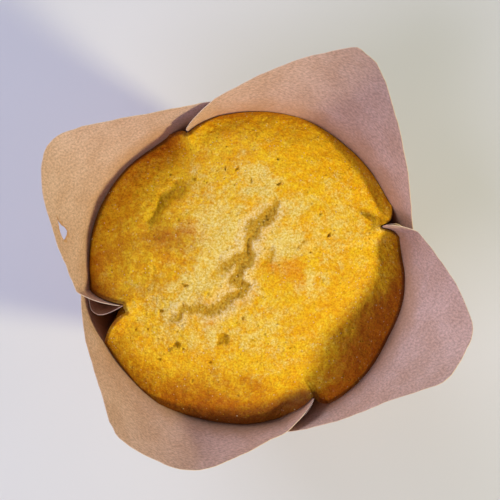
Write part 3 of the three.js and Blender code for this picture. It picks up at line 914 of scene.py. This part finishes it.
away, width, depth = near_tear(shifted_x, shifted_y, FOLD)
fold = depth * np.exp(-((away / width) ** 2))
relief = BROAD_HIGH * broad + LUMPS_HIGH * lumps + FINE_HIGH * fine - fold - cut
relief += torn * (CRUMB_LIFT - CRUMB_HIGH * crumbs + CRUMB_FINE * fine)
relief *= smooth(rim_near / MM, 0, EDGE_CALM)
print("relief from %.1f to %.1f mm" % (relief.min(), relief.max()))

# %% [markdown]
# ## The whole muffin
#
# The crown's edge points are also the first row of the side. The side runs down the paper in rows,
# follows the bend of its foot, and ends in a bottom that lies just above the base. Joining two
# separate meshes would leave a seam there. The relief moves each crown point along its own normal,
# so lumps on the steep edge swell outwards and not up.

# %% The whole muffin
EDGE_SHARES = [0.1, 0.25, 0.5, 0.75]
SIDE_ROWS = MM * np.array([43.5, 41, 38, 32, 26, 20, 14, 9, 6.5, 4.8, 3.6, 2.4, 1.2, 0.2])
BOTTOM_SHARES = [0.96, 0.85, 0.55]

crown = np.stack([crown_x, crown_y, crown_z], axis=1)
edge_points = np.zeros(columns, dtype=int)
on_edge = np.nonzero(net_ring == RINGS)[0]
edge_points[np.round(net_round[on_edge] * columns).astype(int) % columns] = on_edge

sides = [outline_points(path)[0] for path in SIDE_ROWS]
edge_rows = [at_paths(grooved, lerp(rim_path, SIDE_ROWS[0], share)) for share in EDGE_SHARES]
rows = edge_rows + sides + [base_ring(sides[-1], share, AIR) for share in BOTTOM_SHARES]
points = waves(np.vstack([crown, *rows, base_ring(sides[-1][:1], 0, AIR)]))

across = 2 * RINGS + 1
faces = []
for a in range(across - 1):
    for b in range(across - 1):
        i = a * across + b
        faces.append((i, i + across, i + across + 1, i + 1))
first = len(crown)
for i in range(columns):
    j = (i + 1) % columns
    faces.append((first + i, first + j, edge_points[j], edge_points[i]))
faces += [tuple(reversed(face)) for face in ring_faces(len(rows), columns, first)]
hub = len(points) - 1
faces += fan_faces(hub, hub - columns, columns)
muffin = new_object("baked_muffin", points, faces)

normals = np.zeros(len(points) * 3)
muffin.data.vertex_normals.foreach_get("vector", normals)
normals = normals.reshape(-1, 3)[: len(crown)]
points[: len(crown)] += normals * relief[:, None] * MM
muffin.data.vertices.foreach_set("co", points.ravel())
muffin.data.update()
muffin.data.shade_smooth()
print("muffin:", len(muffin.data.polygons), "faces")

# %% [markdown]
# ## What the crust remembers
#
# Colour on baked food is mostly a record of heat: thin edges brown first and torn crumb stays pale.
# Some of it is painted light: tears, pits and the fold are painted darker as shade, and near the
# lower and right edge the brown and the scorch also paint the shadows that the petals cast. All of
# it could be painted on by hand. Here each of these is stored as a number on every point of the
# mesh instead, so the material can mix its colours by them and the colours always sit on the right
# shapes. The edge turned brown unevenly and carries that painted shadow, so it has a table of
# directions in degrees. Patches have a place, a width, a height and a strength.

# %% What the crust remembers
# From 240 to 288 degrees the scorch reach of 3 to 8 mm paints the near petal's shadow on the crown,
# and from 300 to 345 degrees the wide, strong browning paints the right petal's shadow; elsewhere
# the table is real browning and scorch.
EDGE = [  # direction, browning, share of the way in, and reach of the scorch in millimetres
    (0, 0.8, 0.22, 1.4), (24, 0.1, 0.12, 0.3), (60, 0, 0.1, 0.1), (100, 0.1, 0.1, 0.3),
    (112, 0.7, 0.14, 1.4), (120, 1, 0.26, 1.6), (132, 0.85, 0.32, 1.1), (160, 0.72, 0.38, 1.4),
    (180, 0.7, 0.4, 0.3), (192, 1.05, 0.36, 1.5), (204, 0.75, 0.3, 1.1), (216, 0.55, 0.2, 1.1),
    (228, 0.65, 0.35, 0.6), (240, 0.95, 0.45, 3), (252, 1.1, 0.55, 5.5), (264, 1, 0.5, 6.8),
    (276, 0.95, 0.45, 8), (288, 0.95, 0.3, 8), (300, 1, 0.36, 1.4), (325, 1.4, 0.44, 1.4),
    (345, 1.4, 0.38, 1.6),
]
PALE = [(2, 22, 7, 6, 0.7), (-7, 8, 9, 13, 0.9), (-18, -9, 9, 8, 0.6), (9, 6, 6, 5, 0.9),
        (2, -14, 14, 10, 0.45), (20, 10, 12, 12, 0.5), (-16, -6, 4, 4, 0.9), (-14, 16, 3, 3, 0.4),
        (-12, -3, 6, 5, 1), (2.5, 18, 4, 3, 0.9), (11, 15, 4, 4, 0.8), (15, -3, 4, 4, 0.6),
        (-10, -16, 5, 3, 0.7), (-13, 23, 3, 4, 0.4)]
TANNED = [(10, 0, 6, 3.5, 1.1), (12, -4, 3, 4, 0.6), (-14, 10, 7, 6, 0.7), (-20, 2, 5, 6, 0.7),
          (31, 7, 3, 3, 0.6), (-9, -19, 7, 3, 0.4), (20, -12, 5, 4, 0.3), (-8, -13, 4, 3, 0.7)]
# The three dusky patches on the right, at x 23 to 27 mm, paint the right petal's shadow; the others
# darken parts of the crown's left and lower side.
DUSKY_AND_SHADE = [(-19, 8, 7, 7, 0.85), (-21, -2, 5, 6, 0.5), (-27, 3, 5, 8, 0.3), (-17, -27, 7, 4, 0.2),
         (0, -27, 6, 3, 0.25), (27, -10, 4, 7, 0.5), (23, -17, 4, 4, 0.3), (23, -3, 3, 5, 0.4)]
WOBBLE, WOBBLE_SIZE = 2.5, 6
UNEVEN_HEAT, FOLD_SHADE, FULL_HOLLOW_SHADE = 0.12, 0.7, 1.2
SIDE_BROWN, SIDE_SCORCH = 0.6, 0.1


def patches(spots, seed):
    """How strongly each crown point belongs to a set of soft, uneven patches."""
    moved_x = flat_x + WOBBLE * grain(WOBBLE_SIZE, seed, 3)
    moved_y = flat_y + WOBBLE * grain(WOBBLE_SIZE, seed + 40, 3)
    total = np.zeros(len(flat_x))
    for x, y, wide, high, strength in spots:
        away = ((moved_x - x) / wide) ** 2 + ((moved_y - y) / high) ** 2
        total = np.maximum(total, strength * np.exp(-away))
    return total


def remember(thing, name, values, elsewhere=0.0):
    """Stores one number for each crown point, and the same number on all the other points."""
    every = np.full(len(thing.data.vertices), elsewhere)
    every[: len(values)] = np.clip(values, 0, 1)
    thing.data.attributes.new(name, "FLOAT", "POINT").data.foreach_set("value", every)


edge_turns, *edge_looks = np.transpose(EDGE)
brownness, band, scorch_and_shadow_reach = [
    np.interp(np.degrees(turn_round), edge_turns, look, period=360) for look in edge_looks
]
# Edge browning: real browning, widened on the lower right to paint the right petal's shadow; the
# dusky patches add more painted shadow there.
edge_brown_and_shade = smooth(rho, 1 - band, 1.02) * brownness
heat_and_shade = edge_brown_and_shade + UNEVEN_HEAT * broad + patches(DUSKY_AND_SHADE, 5.0)
# Scorch: real scorching at the very edge, and along the bottom a painted shadow of the near petal.
scorch_and_shadow = 1 - smooth(rim_near / (MM * scorch_and_shadow_reach), 0.15, 1.1)
remember(muffin, "browned_and_shade", heat_and_shade, SIDE_BROWN)
remember(muffin, "scorch_and_shadow", scorch_and_shadow, SIDE_SCORCH)
remember(muffin, "pale", patches(PALE, 3.0) * (1 - edge_brown_and_shade))
remember(muffin, "tanned", patches(TANNED, 8.0))
remember(muffin, "torn", torn)
# Tears, pits and the fold are painted darker by their depth, as shade in the hollows.
remember(muffin, "hollow_shade", (cut + FOLD_SHADE * fold) / FULL_HOLLOW_SHADE)
print("stored:", [a.name for a in muffin.data.attributes if a.data_type == "FLOAT"])

# %% [markdown]
# ## Helpers for materials
#
# A procedural material is a small machine of nodes. Writing it node by node hides the idea, so a
# few helpers do the wiring: one adds any node, one mixes colours, one does sums and one spreads a
# range of numbers. Colours are written as screen values, which are easier to imagine.

# %% Helpers for materials
def tint(red, green, blue):
    """A screen colour from 0 to 255 as the linear colour that Blender computes with."""
    linear = []
    for value in (red, green, blue):
        share = value / 255
        linear.append(share / 12.92 if value < 11 else ((share + 0.055) / 1.055) ** 2.4)
    return (*linear, 1.0)


def add_node(tree, kind, settings=None, **sockets):
    """A new node, with its settings made and its sockets filled."""
    node = tree.nodes.new("ShaderNode" + kind)
    for name, value in (settings or {}).items():
        setattr(node, name, value)
    for name, value in sockets.items():
        connect(tree, node.inputs[name.replace("_", " ")], value)
    return node


def connect(tree, socket, value):
    """Links another node's output to a socket, or sets the socket to a plain value."""
    if isinstance(value, bpy.types.NodeSocket):
        tree.links.new(value, socket)
    else:
        socket.default_value = value


def blended(tree, share, first, second, way="MIX"):
    """A colour between two others."""
    node = add_node(tree, "Mix", {"data_type": "RGBA", "blend_type": way, "clamp_result": False})
    for index, value in ((0, share), (6, first), (7, second)):
        connect(tree, node.inputs[index], value)
    return node.outputs[2]


def sums(tree, way, first, second=0.0, third=0.0):
    """The result of one sum, such as ADD, or MULTIPLY_ADD, which is first * second + third."""
    node = add_node(tree, "Math", {"operation": way})
    for index, value in enumerate((first, second, third)):
        connect(tree, node.inputs[index], value)
    return node.outputs[0]


def spread(tree, value, low, high, to_low=0.0, to_high=1.0, shape="SMOOTHSTEP"):
    """Turns the range from low to high into another range, and stays inside it."""
    node = add_node(tree, "MapRange", {"interpolation_type": shape})
    for index, number in enumerate((value, low, high, to_low, to_high)):
        connect(tree, node.inputs[index], number)
    return node.outputs[0]


print("white is", tint(255, 255, 255), "and middle grey is", tint(128, 128, 128))

# %% [markdown]
# ## Patterns and the shader
#
# Noise gives clouds, fibres and mottling, and the cells of a Voronoi texture give dots. Their sizes
# are in millimetres, on the object or on the flat sheet. A Principled shader then takes the colour,
# the roughness and a bump. What is the same all over is set on the shader itself.

# %% Patterns and the shader
def noise_of(tree, where, size, detail=3.0, roughness=0.5):
    """Noise with lumps of about a size."""
    node = add_node(
        tree, "TexNoise", Vector=where, Scale=1 / size, Detail=detail, Roughness=roughness
    )
    return node.outputs[0]


def dots(tree, where, size, rim, middle, places):
    """Dots in cells of about a size, stronger from rim to middle, and only in some places."""
    cells = add_node(tree, "TexVoronoi", Vector=where, Scale=1 / size)
    return sums(tree, "MULTIPLY", spread(tree, cells.outputs["Distance"], rim, middle), places)


def in_millimetres(tree):
    """Places on the object, in millimetres."""
    spot = add_node(tree, "TexCoord").outputs["Object"]
    return add_node(tree, "VectorMath", {"operation": "SCALE"}, Vector=spot, Scale=1000).outputs[0]


def remembered(tree, name, output="Fac"):
    """What the mesh has stored on its points under a name."""
    return add_node(tree, "Attribute", {"attribute_name": name}).outputs[output]


def empty_material(name):
    material = bpy.data.materials.new(name)
    material.use_nodes = True
    material.node_tree.nodes.clear()
    return material, material.node_tree


def finish_material(tree, colour, roughness, relief=None, **sockets):
    """The last part of every material: a shader with its colour, roughness and bump."""
    if relief is not None:
        height, strength, distance = relief
        bump = add_node(tree, "Bump", Height=height, Strength=strength, Distance=distance)
        sockets["Normal"] = bump.outputs[0]
    shader = add_node(tree, "BsdfPrincipled", Base_Color=colour, Roughness=roughness, **sockets)
    add_node(tree, "OutputMaterial", Surface=shader.outputs[0])


print("patterns: noise and dots")

# %% [markdown]
# ## Brown baking paper
#
# Unbleached paper is warm brown and matt. Close up it is a felt of short fibres: slightly streaky
# along the way that it was made, with cloudy thick and thin places and a few dark specks. Below the
# crust's edge the muffin has greased it, which makes it darker and yellower, and the warm orange of
# that band also paints the glow of light shining through the greased paper. A pattern laid on the
# finished shape would run straight through the folds. These patterns are laid on the flat sheet's
# own measures, so they turn with every fold.

# %% Brown baking paper
KRAFT, KRAFT_LIGHT, KRAFT_DARK = tint(199, 163, 145), tint(211, 177, 162), tint(184, 145, 121)
# The greasy colour is a real stain, kept warm to paint the glow of light through the paper.
GREASE_AND_GLOW, SPECK = tint(188, 134, 76), tint(114, 80, 58)
GRAIN_TURN, GRAIN_STRETCH = rad(28), 0.6
GREASY_FROM, GREASY_TO = 83, 75

kraft, tree = empty_material("brown_baking_paper")
laid = remembered(tree, "flat_sheet", "Vector")
grained = add_node(
    tree, "Mapping", Vector=laid, Rotation=(0, 0, GRAIN_TURN), Scale=(1, GRAIN_STRETCH, 1)
).outputs[0]
cloud = noise_of(tree, laid, 7.0, 4.0, 0.55)
fibre = noise_of(tree, grained, 0.5, 4.0, 0.65)
fine_fibre = noise_of(tree, grained, 0.22, 3.0, 0.6)
colour = blended(tree, spread(tree, cloud, 0.3, 0.7), KRAFT_DARK, KRAFT_LIGHT)
colour = blended(tree, 0.6, colour, KRAFT)
fibres = spread(tree, fibre, 0.36, 0.64, 0.77, 1.22, "LINEAR")
colour = blended(tree, 1.0, colour, fibres, "MULTIPLY")

from_middle = add_node(tree, "VectorMath", {"operation": "LENGTH"}, Vector=laid).outputs["Value"]
ragged_edge = sums(tree, "MULTIPLY_ADD", noise_of(tree, laid, 5.0, 3.0), 5.0, from_middle)
grease_and_glow = spread(tree, ragged_edge, GREASY_FROM, GREASY_TO)
# Greasy band: a real stain, whose warm orange also paints light glowing through the paper.
colour = blended(tree, sums(tree, "MULTIPLY", grease_and_glow, 0.55), colour, GREASE_AND_GLOW)

some_places = spread(tree, noise_of(tree, laid, 9.0, 1.0), 0.5, 0.62)
fleck = dots(tree, laid, 2.6, 0.07, 0.03, some_places)
colour = blended(tree, sums(tree, "MULTIPLY", fleck, 0.55), colour, SPECK)
height = sums(tree, "MULTIPLY_ADD", fibre, 0.6, fine_fibre)
roughness = spread(tree, fibre, 0.2, 0.8, 0.72, 0.9)
finish_material(tree, colour, roughness, (height, 0.5, 0.06 * MM), IOR=1.45)
case.data.materials[0] = kraft

cut_edge, tree = empty_material("cut_paper_edge")
loose = noise_of(tree, remembered(tree, "flat_sheet", "Vector"), 0.3, 3.0)
colour = blended(tree, loose, tint(214, 184, 152), tint(236, 210, 180))
finish_material(tree, colour, 0.95, (loose, 0.3, 0.05 * MM))
case.data.materials[1] = cut_edge
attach(case, "root")
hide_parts("paper_case")
print("paper materials:", [m.name for m in case.data.materials])

# %% [markdown]
# ## Golden crust
#
# The crust goes from pale crumb over gold to deep brown. Some layers also paint light: the layers
# of browning and scorch hold the petals' painted shadows near the edge besides real browning, and
# the layer for hollows paints shade into the tears, pits and fold. One noise for all of it would
# look like marble. So the remembered numbers choose the main colour, layer over layer, and noise
# only breaks up the borders. Small pores, painted darker as shade, and pale sugary grains, partly
# painted glints, are sprinkled on top, and they feed the bump too, so colour and shape agree. Each
# row of the table is one layer: its name, how much the noise moves its border, where it starts and
# is full, how strongly it covers, and its colour.

# %% Golden crust
# The pale sugary colour stands for real grains, brightened partly to paint their glints.
CRUMB, CREAM, SUGAR_GLINT = tint(242, 206, 122), tint(238, 202, 92), tint(250, 224, 176)
# The colour for hollows is painted shade for tears, pits, the fold and pores.
GOLD, DEEP_GOLD, HOLLOW_SHADE = tint(240, 188, 22), tint(236, 167, 3), tint(198, 146, 2)
# The scorch colour stands for real scorch and for the painted shadow along the bottom edge; the
# brown also paints the right petal's shadow on the lower right.
AMBER, BROWN, SCORCH_AND_SHADOW = tint(226, 138, 4), tint(176, 96, 2), tint(92, 44, 6)
# The sugary dots raise the colour, most in blue: pale grains and partly painted bluish glints.
GOLDEN_DOT, SUGAR_GLINT_DOT = (0.88, 0.73, 0.2, 1), (1.12, 1.25, 2.2, 1)
LAYERS = [
    ("tanned", -1.0, 0.3, 1.0, 0.7, AMBER),
    ("browned_and_shade", -1.1, 0.15, 1.1, 1.0, BROWN),
    ("scorch_and_shadow", 0.0, 0.1, 0.9, 0.75, SCORCH_AND_SHADOW),
    ("torn", 1.0, 0.25, 0.95, 0.9, CRUMB),
    ("hollow_shade", 0.0, 0.04, 0.4, 0.9, HOLLOW_SHADE),
]

crust, tree = empty_material("golden_crust")
spot = in_millimetres(tree)
cloud = noise_of(tree, spot, 5.0, 5.0, 0.6)
mottle = noise_of(tree, spot, 1.4, 4.0, 0.6)
pricked = noise_of(tree, spot, 0.5, 3.0, 0.6)
uneven = sums(tree, "MULTIPLY_ADD", cloud, 0.7, sums(tree, "MULTIPLY", mottle, 0.5))
uneven = sums(tree, "SUBTRACT", uneven, 0.6)

colour = blended(tree, spread(tree, uneven, -0.12, 0.14), DEEP_GOLD, GOLD)
clumps = sums(tree, "SUBTRACT", noise_of(tree, spot, 2.6, 6.0, 0.8), 0.5)
pale = sums(tree, "MULTIPLY_ADD", clumps, 3.2, remembered(tree, "pale"))
colour = blended(tree, spread(tree, pale, 0.1, 0.9), colour, CREAM)
for name, moved, start, full, cover, paint in LAYERS:
    place = sums(tree, "MULTIPLY_ADD", uneven, moved, remembered(tree, name))
    colour = blended(tree, spread(tree, place, start, full, 0.0, cover), colour, paint)

dotted = spread(tree, pricked, 0.37, 0.63, 0.0, 1.0, "LINEAR")
dotted = blended(tree, dotted, GOLDEN_DOT, SUGAR_GLINT_DOT)
colour = blended(tree, 1.0, colour, dotted, "MULTIPLY")
# Pores are painted darker with the colour for hollows, as shade.
pore = dots(tree, spot, 1.5, 0.2, 0.08, spread(tree, cloud, 0.42, 0.6))
colour = blended(tree, sums(tree, "MULTIPLY", pore, 0.55), colour, HOLLOW_SHADE)
some_places = spread(tree, noise_of(tree, spot, 3.3, 2.0), 0.46, 0.6)
# Pale sugary dots: real grains, partly painted glints.
sugar_and_glints = dots(tree, spot, 1.15, 0.2, 0.1, some_places)
colour = blended(tree, sums(tree, "MULTIPLY", sugar_and_glints, 0.6), colour, SUGAR_GLINT)

height = sums(tree, "MULTIPLY_ADD", mottle, 1.2, sums(tree, "MULTIPLY", pricked, 0.6))
height = sums(tree, "MULTIPLY_ADD", pore, -0.7, height)
height = sums(tree, "MULTIPLY_ADD", sugar_and_glints, 0.4, height)
shiny = sums(tree, "SUBTRACT", mottle, remembered(tree, "torn"))
roughness = spread(tree, shiny, 0.0, 0.7, 0.75, 0.48)
finish_material(tree, colour, roughness, (height, 0.9, 0.4 * MM), Specular_IOR_Level=0.15)
muffin.data.materials.append(crust)
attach(muffin, "root")
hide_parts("muffin")
print("crust nodes:", len(tree.nodes))

# %% [markdown]
# ## Floor
#
# A plain pale floor catches the shadow and throws soft light back up under the petals. A backdrop
# isn't needed, because the camera looks down. The floor is part of the stage, not of the object.

# %% Floor
FLOOR_SIDE = 3.0
half = FLOOR_SIDE / 2
corners = [(-half, -half, 0), (half, -half, 0), (half, half, 0), (-half, half, 0)]
floor = new_object("floor", corners, [(0, 1, 2, 3)])
pale_floor, tree = empty_material("pale_floor")
cloud = noise_of(tree, in_millimetres(tree), 60.0, 2.0)
finish_material(tree, blended(tree, cloud, tint(214, 211, 208), tint(220, 217, 214)), 0.8)
floor.data.materials.append(pale_floor)
floor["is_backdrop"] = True
print("floor", FLOOR_SIDE, "m wide")

# %% [markdown]
# ## Studio light
#
# A sun lamp would draw every edge hard. One small warm soft box stands low on the right instead and
# models every lump. Two wide cool ones fill from the far side, one low behind and one higher on the
# left, so that the petals that face away turn a little lilac. A dim bluish sky keeps the folds from
# going black.

# %% Studio light
AIM = Vector((0, 0, 55 * MM))
SKY_COLOUR, SKY_STRENGTH = (0.54, 0.68, 1.0, 1), 0.222


def soft_box(name, turn, rise, distance, size, power, colour):
    """An area light aimed at the muffin; turn and rise are in degrees."""
    light = bpy.data.lights.new(name, "AREA")
    light.size = size
    light.energy = power
    light.color = colour
    box = bpy.data.objects.new(name, light)
    across = math.cos(rad(rise))
    east, north = across * math.cos(rad(turn)), across * math.sin(rad(turn))
    toward = Vector((east, north, math.sin(rad(rise))))
    box.location = AIM + toward * distance
    box.rotation_euler = toward.to_track_quat("Z", "Y").to_euler()
    scene.collection.objects.link(box)


soft_box("key", -22, 26.5, 1.0, 0.11, 8.2, (1.0, 0.96, 0.55))
soft_box("back_fill", 125, 24, 0.9, 0.5, 5.2, (0.82, 0.85, 1.0))
soft_box("high_fill", 222, 50, 0.9, 0.5, 4.8, (0.75, 0.73, 1.0))
sky = bpy.data.worlds.new("even_sky")
sky.use_nodes = True
background = sky.node_tree.nodes["Background"]
background.inputs["Color"].default_value = SKY_COLOUR
background.inputs["Strength"].default_value = SKY_STRENGTH
scene.world = sky
print("three soft boxes and a sky")

# %% [markdown]
# ## Camera
#
# The camera looks straight down from hand height. At this short distance the near petals look
# larger than the base, which is what makes the case open like a flower.

# %% Camera
CAMERA_PLACE = (0.0006, 0.0047, 0.346)
CAMERA_LENS = 85.32

camera = bpy.data.objects.new("camera", bpy.data.cameras.new("camera"))
camera.location = CAMERA_PLACE
camera.data.lens = CAMERA_LENS
scene.collection.objects.link(camera)
scene.camera = camera
scene.view_settings.view_transform = "Standard"
print("camera", CAMERA_PLACE[2], "m above the floor")

# %% [markdown]
# ## Measure and finish
#
# The made object must be as large as the measured one. Both boxes are printed in millimetres.

# %% Measure and finish
visual_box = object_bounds()
boxes = {
    "cad": [list(corner) for corner in solid_box],
    "visual": [list(corner) for corner in visual_box],
}
for name, box in boxes.items():
    print(name, "mm:", [[round(v / MM, 1) for v in corner] for corner in box])
